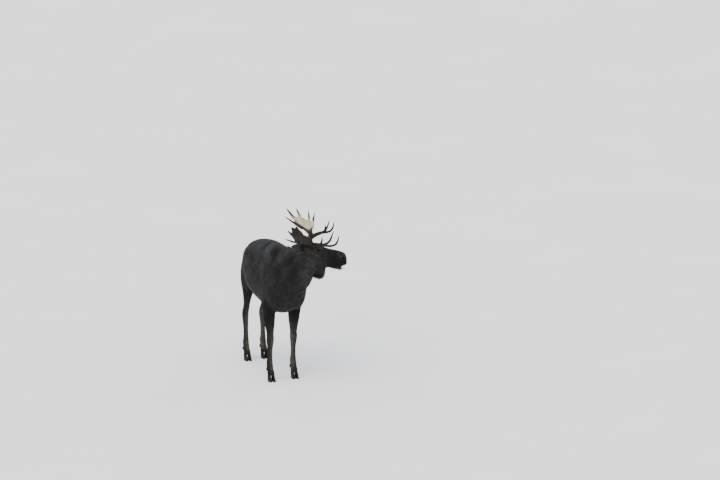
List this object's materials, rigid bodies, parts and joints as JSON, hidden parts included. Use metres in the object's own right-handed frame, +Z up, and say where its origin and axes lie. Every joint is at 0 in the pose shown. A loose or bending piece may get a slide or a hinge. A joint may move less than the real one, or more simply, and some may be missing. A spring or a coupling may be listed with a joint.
{
  "type": "moose",
  "caption": "Life-size still model of a standing bull moose, head turned to its left, with palmate antlers and a thick winter coat.",
  "frame": {"origin": "on the floor, under the middle of the whole model's box", "axes": "+Z up, -Y the way the body faces, +X towards the moose's own left side, where its head is turned"},
  "size_m": [1.0646, 2.4336, 2.4943],
  "materials": {
    "coat": "long coarse winter fur, very dark brown with frosted tips",
    "leg_coat": "short flat fur, greyer than the body",
    "nose_skin": "bare moist skin at the nostrils and lips",
    "antler": "hard antler, dark brown beam, tines and back of the palm, paler hollow face of the palm",
    "hoof": "dark horn, scuffed dull",
    "eye": "wet dark brown eye"
  },
  "bodies": {
    "root": {"antler_left_brow": "antler", "antler_left_palm": "antler", "antler_right_brow": "antler", "antler_right_palm": "antler", "bell": "coat", "ear_left": "coat", "ear_right": "coat", "eye_left": "eye", "eye_right": "eye", "foreleg_left_dewclaw_inner": "hoof", "foreleg_left_dewclaw_outer": "hoof", "foreleg_left_hoof_inner": "hoof", "foreleg_left_hoof_outer": "hoof", "foreleg_left_lower": "leg_coat", "foreleg_left_upper": "coat", "foreleg_right_dewclaw_inner": "hoof", "foreleg_right_dewclaw_outer": "hoof", "foreleg_right_hoof_inner": "hoof", "foreleg_right_hoof_outer": "hoof", "foreleg_right_lower": "leg_coat", "foreleg_right_upper": "coat", "head": "coat", "hindleg_left_dewclaw_inner": "hoof", "hindleg_left_dewclaw_outer": "hoof", "hindleg_left_hoof_inner": "hoof", "hindleg_left_hoof_outer": "hoof", "hindleg_left_lower": "leg_coat", "hindleg_left_upper": "coat", "hindleg_right_dewclaw_inner": "hoof", "hindleg_right_dewclaw_outer": "hoof", "hindleg_right_hoof_inner": "hoof", "hindleg_right_hoof_outer": "hoof", "hindleg_right_lower": "leg_coat", "hindleg_right_upper": "coat", "lower_jaw": "coat", "neck": "coat", "tail": "coat", "trunk": "coat"}
  },
  "joints": []
}
